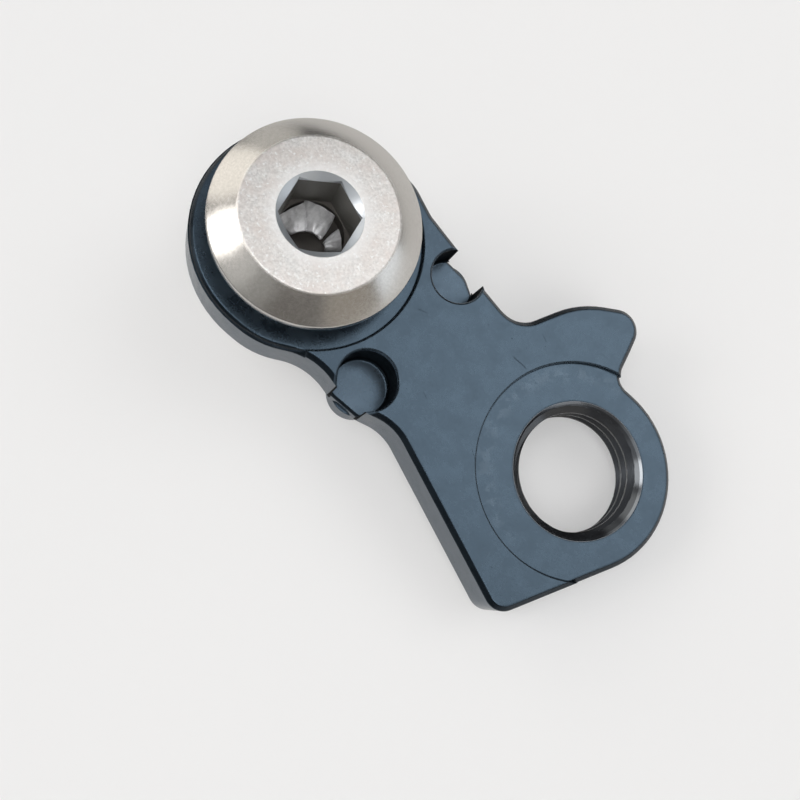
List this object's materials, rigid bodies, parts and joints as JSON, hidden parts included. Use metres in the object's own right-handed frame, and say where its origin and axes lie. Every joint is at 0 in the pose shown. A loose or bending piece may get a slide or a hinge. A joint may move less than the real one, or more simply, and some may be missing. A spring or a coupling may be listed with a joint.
{
  "type": "derailleur hanger extender",
  "caption": "Machined link plate with a captive socket-head hanger bolt and a threaded hole that carries a rear derailleur further from the frame hanger.",
  "frame": {"origin": "on the hanger bolt's axis, at the plate's back face, which seats on the frame hanger", "axes": "+Z along the hanger bolt towards its head, +X from the bolt to the threaded hole"},
  "size_m": [0.042, 0.0243, 0.0159],
  "materials": {
    "black_anodised": "satin black anodised, fine even grain",
    "silver_steel": "turned and lightly blasted, bare"
  },
  "bodies": {
    "root": {"extender_link": "black_anodised", "hanger_bolt": "silver_steel"}
  },
  "joints": []
}
